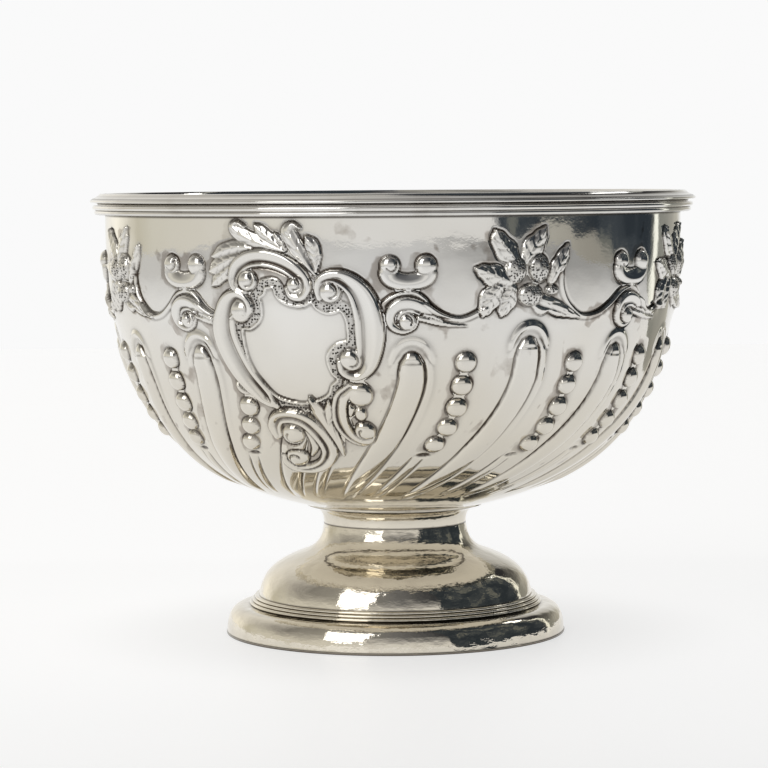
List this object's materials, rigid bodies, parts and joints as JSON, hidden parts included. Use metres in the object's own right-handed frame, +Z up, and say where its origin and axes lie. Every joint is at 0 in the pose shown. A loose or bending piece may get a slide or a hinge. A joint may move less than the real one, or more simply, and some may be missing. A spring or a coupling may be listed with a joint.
{
  "type": "footed punch bowl",
  "caption": "Round footed punch bowl in embossed silver sheet with a moulded rim, swirl fluting, a scroll-framed plate and a stepped, spun pedestal foot.",
  "frame": {"origin": "middle of the flat underside of the foot, at the level it stands on", "axes": "+Z up along the bowl's axis, -Y towards the side that faces the viewer, +X to that viewer's right"},
  "size_m": [0.28, 0.28, 0.2048],
  "materials": {
    "bowl_silver": "polished",
    "rim_silver": "polished",
    "foot_silver": "polished"
  },
  "bodies": {
    "root": {"bowl_shell": "bowl_silver", "rim_moulding": "rim_silver", "rim_reed_wire": "rim_silver", "foot_collar": "foot_silver", "foot_pedestal": "foot_silver", "foot_ledge_wire": "foot_silver", "foot_flange": "foot_silver", "foot_seat_wire": "foot_silver"}
  },
  "joints": []
}
